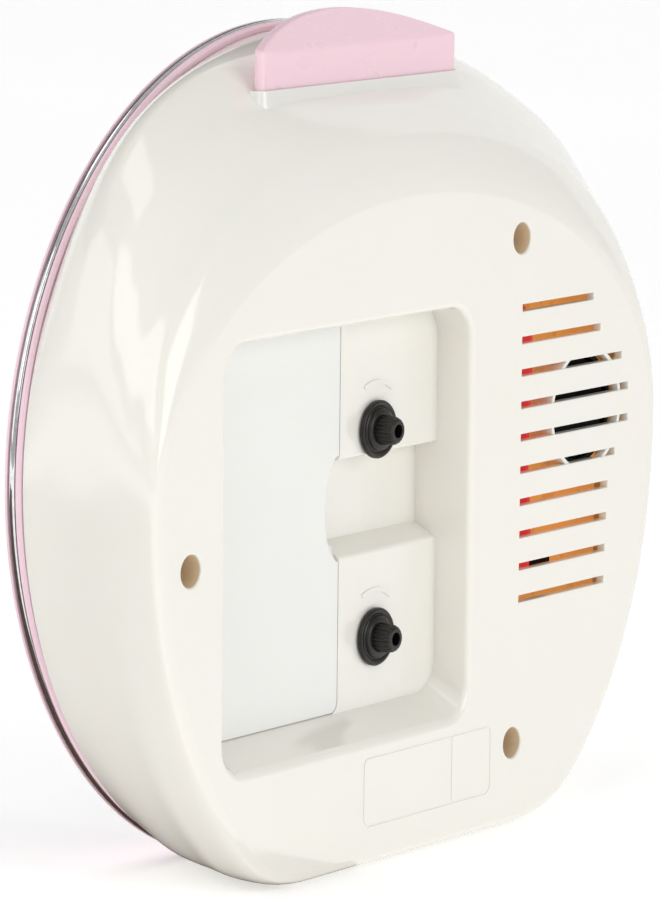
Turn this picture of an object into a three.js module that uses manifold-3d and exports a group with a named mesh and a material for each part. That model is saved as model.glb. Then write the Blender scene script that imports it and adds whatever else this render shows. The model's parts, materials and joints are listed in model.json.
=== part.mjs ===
// A battery alarm clock, 180 mm across, with its back towards +Y and its dial towards -Y.
// Millimetres. Every piece is drawn about the dial's axis: y runs from front to back along that axis,
// and z is the height above it. The last lines move the clock so that it stands on z = 0.
import * as THREE from "three";
import { mergeVertices } from "three/addons/utils/BufferGeometryUtils.js";
import Module from "manifold-3d";

const wasm = await Module();
wasm.setup();

// ---- driving dimensions ----
const RIM = 90; // outer radius of the rim
const DRUM = 88; // radius of the rear housing where it meets the rim
const BASE = 85; // depth of the flat base below the dial's axis
const FRONT_Y = -8; // front of the lens
const BACK_Y = 40; // flat back face
const WALL = 2; // moulded wall
const GAP = 0.3; // clearance between pieces that touch

const DIAL_Y = [-0.9, 0.1];
const FRAME_Y = [0.4, 2.2];
const CHROME_Y = [0.7, 2.1];
const REAR_RING_Y = [2.4, 3.5];
const HOUSING_Y = 3.8;

const RECESS = { x: [-18.5, 69], z: [-58.6, 30.2], corner: 7 };
const PANEL_Y = 31; // the door and the two knob blocks lie in this plane
const RECESS_SLOPE = 5.2; // the recess's lower wall leans out by this much
const POCKET = { z: [-17.4, 0.2], slope: 3, y: 25.5 };
const DOOR_EDGE_X = 17; // free edge of the battery door
const DOOR_THICK = 1.8;
const SCOOP = { z: -9.9, halfHeight: 11.3, reach: 5.2, depth: 2.6 };

const TIME_KNOB = { x: 4.3, z: 5.5 };
const ALARM_KNOB = { x: 4.3, z: -38.76 };
const KNOB = { flange: 6.2, post: 3.3, hole: 1.4, tip: 37 };

const WELLS = [
  { x: -37.2, z: 42.9 },
  { x: 80.4, z: -14 },
  { x: -36, z: -66.9 },
];
const WELL_RADIUS = 3.35;
const WELL_FLOOR_Y = 18;

const SLOT = { pitch: 7.04, top: 27.8, height: 1.55, inner: -37.6 };
const SPEAKER = { x: -63.7, z: 3.2, radius: 12.9, holder: 13.9 };
const SLOT_ENDS = [-65.5, -68.5, -77.2, -80, -80, -75, -72.3, -72, -71.6, -71.3];

const BAR = { half: 35.2, back: 23.4, end: 0.9, depth: 9.5, top: 86, crown: 93, bottom: 78.2, skirt: 72.6 };
const COLLAR = 1.1;

const MOVEMENT = { x: [-20, 18.6], z: [-46, 17], y: [0.4, 23.2], split: 12 };
const TRAY = { x: [19.8, 66.8], z: [-51.2, 27.9], y: [10, 27.2] };
const BOARD = { x: [-81, -24.5], z: [-40, 29], y: [29.2, 30.8] };

// ---- solids and booleans ----
function solid(geometry) {
  const bare = geometry.clone();
  bare.deleteAttribute("normal");
  bare.deleteAttribute("uv");
  const merged = mergeVertices(bare, 1e-4);
  return new wasm.Manifold(
    new wasm.Mesh({
      numProp: 3,
      vertProperties: merged.attributes.position.array,
      triVerts: new Uint32Array(merged.index.array),
    }),
  );
}

const join = (first, ...others) => others.reduce((whole, piece) => whole.add(piece), first);
const cut = (first, ...others) => others.reduce((whole, piece) => whole.subtract(piece), first);

function geometryOf(shape) {
  const { vertProperties, triVerts } = shape.getMesh();
  const geometry = new THREE.BufferGeometry();
  geometry.setAttribute("position", new THREE.BufferAttribute(vertProperties, 3));
  geometry.setIndex(new THREE.BufferAttribute(triVerts, 1));
  const flat = geometry.toNonIndexed();
  flat.computeVertexNormals();
  return flat;
}

// A box between two corners, given as ranges.
function box([x0, x1], [y0, y1], [z0, z1]) {
  const block = new THREE.BoxGeometry(x1 - x0, y1 - y0, z1 - z0);
  return solid(block.translate((x0 + x1) / 2, (y0 + y1) / 2, (z0 + z1) / 2));
}

// An outline in x and z, pushed through a range of y.
function prismY(shape, [y0, y1], curveSegments = 8) {
  const slab = new THREE.ExtrudeGeometry(shape, { depth: y1 - y0, bevelEnabled: false, curveSegments });
  return solid(slab.rotateX(Math.PI / 2).translate(0, y1, 0));
}

// An outline in x and y, pushed through a range of z.
function prismZ(shape, [z0, z1], curveSegments = 16) {
  const slab = new THREE.ExtrudeGeometry(shape, { depth: z1 - z0, bevelEnabled: false, curveSegments });
  return solid(slab.translate(0, 0, z0));
}

// An outline in y and z, pushed through a range of x.
function prismX(shape, [x0, x1]) {
  const slab = new THREE.ExtrudeGeometry(shape, { depth: x1 - x0, bevelEnabled: false });
  const turned = new THREE.Matrix4().makeBasis(
    new THREE.Vector3(0, 1, 0),
    new THREE.Vector3(0, 0, 1),
    new THREE.Vector3(1, 0, 0),
  );
  return solid(slab.applyMatrix4(turned).translate(x0, 0, 0));
}

// A cylinder along y, at a place in x and z.
function rod(x, z, radius, [y0, y1], sides = 14) {
  const column = new THREE.CylinderGeometry(radius, radius, y1 - y0, sides);
  return solid(column.translate(x, (y0 + y1) / 2, z));
}

const tube = (x, z, outer, inner, [y0, y1], sides = 14) =>
  cut(rod(x, z, outer, [y0, y1], sides), rod(x, z, inner, [y0 - 1, y1 + 1], sides));

// A closed profile of [radius, y] points, turned about the dial's axis.
function turned(profile, segments) {
  const points = profile.map(([radius, y]) => new THREE.Vector2(radius, y));
  if (THREE.ShapeUtils.area(points) < 0) points.reverse();
  points.push(points[0].clone());
  return solid(new THREE.LatheGeometry(points, segments));
}

function roundedRectangle([x0, x1], [z0, z1], radius) {
  const outline = new THREE.Shape();
  outline.absarc(x1 - radius, z0 + radius, radius, -Math.PI / 2, 0);
  outline.absarc(x1 - radius, z1 - radius, radius, 0, Math.PI / 2);
  outline.absarc(x0 + radius, z1 - radius, radius, Math.PI / 2, Math.PI);
  outline.absarc(x0 + radius, z0 + radius, radius, Math.PI, 1.5 * Math.PI);
  outline.closePath();
  return outline;
}

const polygon = (points) => new THREE.Shape(points.map(([a, b]) => new THREE.Vector2(a, b)));
const grown = ([low, high], by) => [low - by, high + by];

// ---- the clock's group ----
const clock = new THREE.Group();

const finishes = {
  cream: { color: 0xf0eee2, roughness: 0.28, metalness: 0 },
  white: { color: 0xeceeec, roughness: 0.4, metalness: 0 },
  pink: { color: 0xf3bfd2, roughness: 0.3, metalness: 0 },
  chrome: { color: 0xd6d8da, roughness: 0.06, metalness: 1 },
  glass: { color: 0xe8f0f2, roughness: 0.05, metalness: 0, transparent: true, opacity: 0.35 },
  dial: { color: 0xfbfaf6, roughness: 0.6, metalness: 0 },
  knob: { color: 0x2b2521, roughness: 0.45, metalness: 0 },
  hand: { color: 0x3a3336, roughness: 0.4, metalness: 0.3 },
  works: { color: 0xf2f0ea, roughness: 0.5, metalness: 0 },
  steel: { color: 0xb9bcc0, roughness: 0.3, metalness: 1 },
  copper: { color: 0xb5652e, roughness: 0.35, metalness: 1 },
  board: { color: 0xb87a35, roughness: 0.5, metalness: 0 },
  black: { color: 0x17130f, roughness: 0.6, metalness: 0 },
  red: { color: 0xc0202f, roughness: 0.4, metalness: 0 },
};

function place(name, shape, finish) {
  const mesh = new THREE.Mesh(geometryOf(shape), new THREE.MeshStandardMaterial(finishes[finish]));
  mesh.name = name;
  clock.add(mesh);
}

// ---- rim: pink bezel, chrome ring and pink rear ring, all cut flat at the base ----
const RIM_SEGMENTS = 48;
const belowBase = box([-100, 100], [-20, 60], [-120, -BASE]);

function frontBezel() {
  const profile = [
    [RIM - 0.1, 0.4],
    [RIM - 0.5, -0.5],
    [RIM - 1.6, -1.3],
    [RIM - 6, -4.3],
    [RIM - 10, -7],
    [RIM - 13.4, -6.4],
    [RIM - 10.4, -5.3],
    [RIM - 10.4, -1.2],
    [RIM - 4.6, 0.1],
    [RIM - 4.6, 0.4],
  ];
  return cut(turned(profile, RIM_SEGMENTS), belowBase);
}

function chromeRing() {
  const [y0, y1] = CHROME_Y;
  const middle = (y0 + y1) / 2;
  const profile = [
    [RIM - 4, y0],
    [RIM - 0.4, y0],
    [RIM, middle],
    [RIM - 0.4, y1],
    [RIM - 4, y1],
  ];
  return cut(turned(profile, RIM_SEGMENTS), belowBase);
}

function rearRing() {
  const [y0, y1] = REAR_RING_Y;
  const profile = [
    [RIM - 4.2, y0],
    [RIM - 0.3, y0],
    [RIM - 0.5, y1 - 0.4],
    [RIM - 1, y1],
    [RIM - 4.2, y1],
  ];
  return cut(turned(profile, RIM_SEGMENTS), belowBase);
}

place("front_bezel", frontBezel(), "pink");
place("chrome_ring", chromeRing(), "chrome");
place("rear_ring", rearRing(), "pink");

// ---- dial, lens and the frame behind them ----
const DIAL_RADIUS = 78;
const LENS_RADIUS = 79.2;
const HANDS_HOLE = 3.6;

// A shallow dome of even thickness; the bezel's lip laps over its edge.
function lens() {
  const edge = -3.6;
  const rise = FRONT_Y - edge + 1.6;
  const height = (radius) => edge - 1.6 + rise * (1 - (radius / LENS_RADIUS) ** 2);
  const radii = [0, 30, 54, 70];
  const front = radii.map((radius) => [radius, height(radius)]);
  const back = [...radii].reverse().map((radius) => [radius, height(radius) + 1.5]);
  const rim = [
    [LENS_RADIUS, edge - 1.4],
    [LENS_RADIUS, edge],
  ];
  return turned([...front, ...rim, ...back], 36);
}

function dial() {
  return cut(rod(0, 0, DIAL_RADIUS, DIAL_Y, 40), rod(0, 0, HANDS_HOLE, [-3, 3], 12));
}

function dialRing() {
  const [outer, foot] = [DIAL_RADIUS, DIAL_Y[0] - GAP];
  return turned([[outer, foot], [outer, foot - 2], [outer - 1, foot - 2], [outer - 2.6, foot]], 40);
}

// The plate that carries the dial, with a post for each case screw.
function frontFrame() {
  const [y0, y1] = FRAME_Y;
  const plate = tube(0, 0, RIM - 6.2, 52.4, [y0, y1], 36);
  const posts = WELLS.map(({ x, z }) => rod(x, z, 3.9, [y1 - 0.5, WELL_FLOOR_Y - WALL - GAP], 14));
  const bores = WELLS.map(({ x, z }) => rod(x, z, 1.6, [y0 + 1, 40], 12));
  return cut(join(plate, ...posts), ...bores, belowBase);
}

place("lens", lens(), "glass");
place("dial", dial(), "dial");
place("dial_ring", dialRing(), "white");
place("front_frame", frontFrame(), "white");

// ---- rear housing: a round drum that turns into a flatter, square-footed back ----
// Each level gives y, the half-width, the height of the top, the reach of the lower curve, and how
// square the upper and lower curves are: 2 is an ellipse, and more is squarer.
const HOUSING_LEVELS = [
  { y: HOUSING_Y, side: DRUM + 1, top: DRUM, bottom: 91, square: [2, 2] },
  { y: 13, side: 89.6, top: 85, bottom: 95.5, square: [2.9, 2.05] },
  { y: 23, side: 91.2, top: 76.8, bottom: 97.5, square: [3.2, 2.1] },
  { y: 29, side: 92, top: 73, bottom: 98.5, square: [2.8, 2.15] },
  { y: 33, side: 92.3, top: 70.5, bottom: 99, square: [2.45, 2.15] },
  { y: 36.5, side: 92.3, top: 67, bottom: 99, square: [2.3, 2.15] },
  { y: 38.6, side: 92, top: 62.5, bottom: 98.5, square: [2.15, 2.15] },
  { y: 39.6, side: 91, top: 59, bottom: 98, square: [2.05, 2.15] },
  { y: BACK_Y, side: 88.5, top: 55, bottom: 96.5, square: [2, 2.15] },
];
const FOOT_BLEND = 7; // how softly the sides turn into the flat base

// The smaller of two lengths, with a soft corner where they cross.
function softMinimum(a, b, blend) {
  const near = Math.max(blend - Math.abs(a - b), 0) / blend;
  return Math.min(a, b) - (near * near * blend) / 4;
}

// A drum whose outline changes from level to level: a squared ellipse above, and a longer one below that
// the base clips.
function loft(levels, base, segments) {
  const profile = [new THREE.Vector2(0, 0)];
  levels.forEach((level, index) => profile.push(new THREE.Vector2(1, index)));
  profile.push(new THREE.Vector2(0, levels.length - 1));
  const geometry = new THREE.LatheGeometry(profile, segments);
  const position = geometry.attributes.position;
  for (let i = 0; i < position.count; i += 1) {
    const level = levels[Math.round(position.getY(i))];
    const across = position.getX(i);
    const up = position.getZ(i);
    const onRim = Math.hypot(across, up) > 0.5;
    const power = 2 / level.square[up > 0 ? 0 : 1];
    const x = Math.sign(across) * Math.abs(across) ** power * level.side;
    const reach = Math.abs(up) ** power * (up > 0 ? level.top : level.bottom);
    const z = up > 0 ? reach : -softMinimum(reach, base - (level.lift ?? 0), FOOT_BLEND);
    position.setXYZ(i, onRim ? x : 0, level.y, onRim ? z : 0);
  }
  return solid(geometry);
}

function housingShell() {
  const liftAtBack = HOUSING_LEVELS.map((level, index) => {
    const fromBack = HOUSING_LEVELS.length - 1 - index;
    return { ...level, lift: [2.4, 1.1, 0.4][fromBack] ?? 0 };
  });
  const outside = loft(liftAtBack, BASE, 48);
  const insideLevels = HOUSING_LEVELS.filter((level, index) => index < 6 && index !== 3).map((level) => ({
    y: level.y,
    side: level.side - WALL,
    top: level.top - WALL * 1.25,
    bottom: level.bottom - WALL,
    square: level.square,
  }));
  insideLevels[0].y = HOUSING_Y - 1;
  insideLevels.push({ y: BACK_Y - WALL, side: 88, top: 58, bottom: 96, square: [2.2, 2.15] });
  return cut(outside, loft(insideLevels, BASE - WALL, 28));
}

// The recess is wider at its mouth below, where its lower wall leans out.
function recessSpace() {
  const { x, z, corner } = RECESS;
  const straight = prismY(roundedRectangle(x, [z[0] + RECESS_SLOPE, z[1]], corner), [PANEL_Y, BACK_Y + 1]);
  const mouth = roundedRectangle(x, z, corner);
  const tall = prismY(mouth, [PANEL_Y, BACK_Y + 1]);
  const lean = polygon([
    [PANEL_Y, z[0] + RECESS_SLOPE],
    [BACK_Y, z[0]],
    [BACK_Y + 1, z[0]],
    [BACK_Y + 1, z[1]],
    [PANEL_Y, z[1]],
  ]);
  return straight.add(tall.intersect(prismX(lean, grown(x, 1))));
}

function pocketSpace() {
  const { z, slope, y } = POCKET;
  const section = polygon([
    [y, z[0]],
    [PANEL_Y + 1, z[0] - slope * (1 + 1 / (PANEL_Y - y))],
    [PANEL_Y + 1, z[1]],
    [y, z[1]],
  ]);
  return prismX(section, [RECESS.x[0], DOOR_EDGE_X + 3]);
}

// The tray of walls and floors that the recess is sunk into.
function recessBody() {
  const { x, z, corner } = RECESS;
  const outer = prismY(roundedRectangle(grown(x, WALL), grown(z, WALL), corner + WALL), [23.5, BACK_Y - 1]);
  const floorY = PANEL_Y - WALL;
  const behindUpper = box([x[0], DOOR_EDGE_X - WALL], [20, floorY], [POCKET.z[1] + WALL, z[1]]);
  const lowerTop = POCKET.z[0] - POCKET.slope - WALL;
  const behindLower = box([x[0], DOOR_EDGE_X - WALL], [20, floorY], [z[0] + RECESS_SLOPE, lowerTop]);
  return cut(outer, behindUpper, behindLower);
}

const doorHeight = (by) => grown([RECESS.z[0] + RECESS_SLOPE, RECESS.z[1]], by);

// The door's outline: the recess's own corners at the hinge, and one small corner at the free edge.
function doorPlan(by) {
  const [z0, z1] = doorHeight(by);
  const free = DOOR_EDGE_X - by;
  const hinge = RECESS.x[1] + by;
  const corner = RECESS.corner + by;
  const small = 2.5 + by;
  const plan = new THREE.Shape();
  plan.absarc(free + small, z0 + small, small, Math.PI, 1.5 * Math.PI);
  plan.absarc(hinge - corner, z0 + corner, corner, -Math.PI / 2, 0);
  plan.absarc(hinge - corner, z1 - corner, corner, 0, Math.PI / 2);
  plan.lineTo(free, z1);
  plan.closePath();
  return plan;
}

function doorSeat() {
  const seat = prismY(doorPlan(0), [PANEL_Y - DOOR_THICK - GAP, PANEL_Y + 1]);
  const bay = box([DOOR_EDGE_X + 2.4, RECESS.x[1] - 1.8], [20, PANEL_Y], doorHeight(-1.8));
  return seat.add(bay);
}

// Slots 3 to 6 cross the speaker's holder, a ring wall that fills the slots where they meet.
function grille() {
  const half = SLOT.height / 2;
  return SLOT_ENDS.map((end, row) => {
    const z = SLOT.top - row * SLOT.pitch;
    return box([end, SLOT.inner], [BACK_Y - WALL - 1, BACK_Y + 1], [z - half, z + half]);
  });
}

function rotationMark({ x, z }) {
  const mark = new THREE.Shape();
  mark.absarc(x, z, 10.4, Math.PI * 0.36, Math.PI * 0.7, false);
  mark.absarc(x, z, 9.6, Math.PI * 0.7, Math.PI * 0.36, true);
  mark.closePath();
  return prismY(mark, [PANEL_Y - 0.5, PANEL_Y + 0.35]);
}

const COLLAR_FOOT = 65.4;
const SNOOZE_ROOM = [COLLAR_FOOT - 1, BAR.crown + 6];

// The snooze bar's plan: straight at the back, with short ends, and bowed towards the front.
function barPlan(by) {
  const bow = BAR.depth - BAR.end;
  const radius = (BAR.half * BAR.half + bow * bow) / (2 * bow);
  const centreY = BAR.back - BAR.depth + radius;
  const shortestEnd = 0.4;
  const widest = Math.sqrt((radius + by) ** 2 - (centreY - BAR.back - by + shortestEnd) ** 2);
  const half = Math.min(BAR.half + by, widest);
  const reach = Math.asin(half / (radius + by));
  const plan = new THREE.Shape();
  plan.moveTo(half, BAR.back + by);
  plan.lineTo(-half, BAR.back + by);
  plan.absarc(0, centreY, radius + by, -Math.PI / 2 - reach, -Math.PI / 2 + reach);
  plan.closePath();
  return plan;
}

function rearHousing() {
  const wells = WELLS.map(({ x, z }) => rod(x, z, WELL_RADIUS + 1.6, [WELL_FLOOR_Y - WALL, BACK_Y - 1], 16));
  const wellSpaces = WELLS.map(({ x, z }) => rod(x, z, WELL_RADIUS, [WELL_FLOOR_Y, BACK_Y + 1], 16));
  const screwHoles = WELLS.map(({ x, z }) => rod(x, z, 1.7, [10, WELL_FLOOR_Y + 1], 10));
  const collar = prismZ(barPlan(COLLAR), [COLLAR_FOOT, BAR.bottom]);
  const holder = tube(SPEAKER.x, SPEAKER.z, SPEAKER.holder, SPEAKER.holder - 0.9, [33.5, BACK_Y], 28);
  const slots = grille();
  const openings = [recessSpace(), pocketSpace(), doorSeat(), ...wellSpaces, ...screwHoles];
  const knobHoles = [TIME_KNOB, ALARM_KNOB].map(({ x, z }) => rod(x, z, 4, [20, PANEL_Y + 1]));
  const shell = join(cut(housingShell(), ...slots), ...wells, recessBody(), collar, holder);
  const opened = cut(shell, ...openings, ...knobHoles, prismZ(barPlan(GAP), SNOOZE_ROOM), belowBase);
  return join(opened, ...[TIME_KNOB, ALARM_KNOB].map(rotationMark));
}

place("rear_housing", rearHousing(), "cream");

// ---- battery door: a plate with a scooped thickening at its free edge ----
function batteryDoor() {
  const plate = prismY(doorPlan(-GAP), [PANEL_Y - DOOR_THICK, PANEL_Y]);
  const thick = box(
    [DOOR_EDGE_X + 2.9, DOOR_EDGE_X + 8.8],
    [PANEL_Y - DOOR_THICK - 1.6, PANEL_Y - 1],
    [SCOOP.z - SCOOP.halfHeight - 2, SCOOP.z + SCOOP.halfHeight + 2],
  );
  const dish = new THREE.SphereGeometry(1, 20, 12);
  dish.scale(SCOOP.reach, SCOOP.depth, SCOOP.halfHeight);
  return cut(join(plate, thick), solid(dish.translate(DOOR_EDGE_X, PANEL_Y, SCOOP.z)));
}

place("battery_door", batteryDoor(), "white");

// ---- snooze bar, its two springs and its switch ----
const SPRING_X = 14;
const SPRING_Y = 19;
const SPRING_Z = [64.6, 79.4];

function snoozeBar() {
  const block = prismZ(barPlan(0), [BAR.skirt, BAR.crown + 1]);
  const crown = rod(0, 0, BAR.crown, [0, 40], 96);
  const rise = BAR.crown - BAR.top + 2;
  const chamfer = polygon([
    [BAR.back + 1, BAR.top - 1],
    [BAR.back + 1, BAR.crown + 4],
    [BAR.back - rise, BAR.crown + 4],
    [BAR.back - rise, BAR.top + rise],
  ]);
  const hollow = prismZ(barPlan(-1.6), [BAR.skirt - 1, 80]);
  const pusher = box([-3, 3], [17, 20], [BAR.skirt - 0.9, 81]);
  return join(cut(block.intersect(crown), prismX(chamfer, [-40, 40]), hollow), pusher);
}

function spring(x) {
  const [z0, z1] = SPRING_Z;
  const turns = 4;
  const stepsPerTurn = 7;
  const points = [];
  for (let i = 0; i <= turns * stepsPerTurn; i += 1) {
    const angle = (i / stepsPerTurn) * 2 * Math.PI;
    const z = z0 + 0.6 + ((z1 - z0 - 1.2) * i) / (turns * stepsPerTurn);
    points.push(new THREE.Vector3(x + 1.8 * Math.cos(angle), SPRING_Y + 1.8 * Math.sin(angle), z));
  }
  const wire = new THREE.Shape().absarc(0, 0, 0.32, 0, 2 * Math.PI);
  const path = new THREE.CatmullRomCurve3(points);
  const sweep = { steps: turns * stepsPerTurn, curveSegments: 2, extrudePath: path, bevelEnabled: false };
  return solid(new THREE.ExtrudeGeometry(wire, sweep));
}

// A shelf between the two springs carries the switch.
function snoozeShelf() {
  const shelf = box([-30, 30], [13.5, 24], [62.8, 64.2]);
  const wall = box([-30, 30], [12, 13.5], [57, 64.2]);
  return join(shelf, wall);
}

function snoozeSwitch() {
  const body = box([-3, 3], [15.5, 21.5], [64.5, 67.6]);
  const button = new THREE.CylinderGeometry(1.6, 1.6, 1.6, 12).rotateX(Math.PI / 2);
  return join(body, solid(button.translate(0, 18.5, 68.2)));
}

place("snooze_bar", snoozeBar(), "pink");
place("snooze_shelf", snoozeShelf(), "white");
place("snooze_switch", snoozeSwitch(), "black");
place("snooze_spring_left", spring(-SPRING_X), "steel");
place("snooze_spring_right", spring(SPRING_X), "steel");

// ---- gears of the movement ----
// A toothed disc; a tooth is centred on the angle phase, measured from +x towards +z.
function gear({ x, z, teeth, module, phase }, y) {
  const root = module * (teeth / 2 - 1.1);
  const tip = module * (teeth / 2 + 0.8);
  const pitch = (2 * Math.PI) / teeth;
  const points = [];
  for (let i = 0; i < teeth; i += 1) {
    for (const [radius, offset] of [[root, -0.27], [tip, -0.11], [tip, 0.11], [root, 0.27]]) {
      const angle = phase + (i + offset) * pitch;
      points.push([x + radius * Math.cos(angle), z + radius * Math.sin(angle)]);
    }
  }
  return prismY(polygon(points), y);
}

// The phase that lets one gear mesh with a gear already placed.
function meshing(placed, next) {
  const direction = Math.atan2(next.z - placed.z, next.x - placed.x);
  const placedPitch = (2 * Math.PI) / placed.teeth;
  const nextPitch = (2 * Math.PI) / next.teeth;
  const phase = direction + Math.PI - nextPitch * (0.5 - (direction - placed.phase) / placedPitch);
  return { ...next, phase };
}

// Wheel layers, as ranges of y from the front of the movement to its back.
const ALARM_LAYER = [2.2, 3.2];
const HOUR_LAYER = [4.2, 5.2];
const MOTION_LAYER = [6.2, 7.2];
const MINUTE_LAYER = [8.2, 9.2];
const SECOND_LAYER = [10.2, 11.2];
const MOTOR_LAYER = [12.4, 13.2];

// Pipes, one inside the next, that carry the hands through the dial.
const PIPES = {
  second: { outer: 0.6, end: -4.3 },
  minute: { outer: 1.7, inner: 1.0, end: -3.4 },
  hour: { outer: 2.4, inner: 2.0, end: -2.5 },
  alarm: { outer: 3.15, inner: 2.7, end: -1.65 },
};

const KNOB_DISTANCE = Math.hypot(TIME_KNOB.x, TIME_KNOB.z);
const timePinion = { ...TIME_KNOB, teeth: 8, module: (2 * KNOB_DISTANCE) / 24, phase: 0 };
const minuteGear = meshing(timePinion, { x: 0, z: 0, teeth: 16, module: timePinion.module });
const minutePinion = { x: 0, z: 0, teeth: 8, module: 0.625, phase: 0 };
const motionGear = meshing(minutePinion, { x: -10, z: 0, teeth: 24, module: 0.625 });
const motionPinion = { ...motionGear, teeth: 8, module: 0.5, phase: 0 };
const hourGear = meshing(motionPinion, { x: 0, z: 0, teeth: 32, module: 0.5 });

const alarmPinion = { ...ALARM_KNOB, teeth: 8, module: 0.6, phase: 0 };
const ALARM_SPAN = Math.hypot(ALARM_KNOB.x, ALARM_KNOB.z);
const alongSpan = (distance) => ({
  x: (ALARM_KNOB.x * distance) / ALARM_SPAN,
  z: (ALARM_KNOB.z * distance) / ALARM_SPAN,
});
const alarmIdler = meshing(alarmPinion, { ...alongSpan(23.1), teeth: 45, module: 0.6 });
const alarmGear = meshing(alarmIdler, { x: 0, z: 0, teeth: 32, module: 0.6 });

const secondGear = { x: 0, z: 0, teeth: 30, module: 0.26, phase: 0 };
const thirdPinion = meshing(secondGear, { x: -3.6, z: -3.02, teeth: 6, module: 0.26 });
const thirdGear = { ...thirdPinion, teeth: 36, module: 0.34, phase: 0 };
const rotorPinion = meshing(thirdGear, { x: thirdGear.x, z: thirdGear.z - 7.14, teeth: 6, module: 0.34 });

function wheelOnPipe(wheel, pipe, from) {
  return cut(join(wheel, rod(0, 0, pipe.outer, [pipe.end, from])), rod(0, 0, pipe.inner, [-9, from + 9]));
}

const alarmWheel = () => wheelOnPipe(gear(alarmGear, ALARM_LAYER), PIPES.alarm, ALARM_LAYER[1]);
const hourWheel = () => wheelOnPipe(gear(hourGear, HOUR_LAYER), PIPES.hour, HOUR_LAYER[1]);

function minuteWheel() {
  const wheels = join(gear(minutePinion, MOTION_LAYER), gear(minuteGear, MINUTE_LAYER));
  return wheelOnPipe(wheels, PIPES.minute, MINUTE_LAYER[1]);
}

function secondWheel() {
  const arbor = rod(0, 0, PIPES.second.outer, [PIPES.second.end, SECOND_LAYER[1] + 0.6], 12);
  return join(gear(secondGear, SECOND_LAYER), arbor);
}

function motionWheel() {
  const { x, z } = motionGear;
  const arbor = rod(x, z, 0.8, [HOUR_LAYER[0] - 0.7, 10.2], 10);
  const pinion = gear(motionPinion, [HOUR_LAYER[0] - 0.5, MOTION_LAYER[0] + 0.1]);
  return join(pinion, gear(motionGear, MOTION_LAYER), arbor);
}

function alarmIdlerWheel() {
  const { x, z } = alarmIdler;
  const holes = [0, 1, 2, 3].map((i) => {
    const angle = (i / 4) * 2 * Math.PI;
    return rod(x + 7.5 * Math.cos(angle), z + 7.5 * Math.sin(angle), 3.2, [0, 9], 8);
  });
  return join(cut(gear(alarmIdler, ALARM_LAYER), ...holes), rod(x, z, 1, [1.8, 7], 10));
}

function thirdWheel() {
  const { x, z } = thirdGear;
  const arbor = rod(x, z, 0.45, [SECOND_LAYER[0] - 0.6, MOTOR_LAYER[1] + 1], 10);
  const pinion = gear(thirdPinion, [SECOND_LAYER[0], MOTOR_LAYER[0] + 0.1]);
  return join(pinion, gear(thirdGear, MOTOR_LAYER), arbor);
}

function motorRotor() {
  const { x, z } = rotorPinion;
  const pinion = gear(rotorPinion, [MOTOR_LAYER[0] - 0.4, 15]);
  return join(pinion, rod(x, z, 2.6, [15, 17.6]), rod(x, z, 0.5, [11, 19], 10));
}

place("alarm_wheel", alarmWheel(), "works");
place("alarm_idler", alarmIdlerWheel(), "works");
place("hour_wheel", hourWheel(), "works");
place("motion_wheel", motionWheel(), "works");
place("minute_wheel", minuteWheel(), "works");
place("second_wheel", secondWheel(), "works");
place("third_wheel", thirdWheel(), "works");
place("motor_rotor", motorRotor(), "steel");

// ---- motor: a stator plate round the rotor, and the coil that drives it ----
const COIL_Z = rotorPinion.z - 12;
const COIL_Y = 17.4;

function motorStator() {
  const { x, z } = rotorPinion;
  const arms = box([x - 9, x + 5], [15.8, 16.8], [COIL_Z + 4.5, z + 4.5]);
  const between = box([x - 3, x + 1], [15, 18], [COIL_Z + 4, z - 4.8]);
  return cut(arms, between, rod(x, z, 3.1, [15, 18], 18));
}

function motorCoil() {
  const { x } = rotorPinion;
  const bobbin = new THREE.CylinderGeometry(3.2, 3.2, 13, 16).rotateZ(Math.PI / 2);
  const flange = (at) => {
    const disc = new THREE.CylinderGeometry(4.1, 4.1, 1, 16).rotateZ(Math.PI / 2);
    return solid(disc.translate(at, COIL_Y, COIL_Z));
  };
  return join(solid(bobbin.translate(x - 2, COIL_Y, COIL_Z)), flange(x - 8.5), flange(x + 4.5));
}

function movementBoard() {
  const { x, z } = rotorPinion;
  return box([x - 12, x + 7], [10.6, 11.6], [COIL_Z - 9, z - 6]);
}

place("motor_stator", motorStator(), "steel");
place("motor_coil", motorCoil(), "copper");
place("movement_board", movementBoard(), "board");

// ---- the movement's two case halves ----
function movementCase(y, openAtBack) {
  const shell = box(MOVEMENT.x, y, MOVEMENT.z);
  const inner = openAtBack ? [y[0] + 1.1, y[1] + 1] : [y[0] - 1, y[1] - 1.1];
  return cut(shell, box(grown(MOVEMENT.x, -1.2), inner, grown(MOVEMENT.z, -1.2)));
}

function movementFrontCase() {
  return cut(movementCase([MOVEMENT.y[0], MOVEMENT.split], true), rod(0, 0, HANDS_HOLE, [-1, 4]));
}

function movementBackCase() {
  const half = movementCase([MOVEMENT.split + GAP, MOVEMENT.y[1]], false);
  const holes = [TIME_KNOB, ALARM_KNOB].map(({ x, z }) => rod(x, z, 1.6, [20, 30], 16));
  return cut(half, ...holes);
}

place("movement_front_case", movementFrontCase(), "works");
place("movement_back_case", movementBackCase(), "works");

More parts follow.
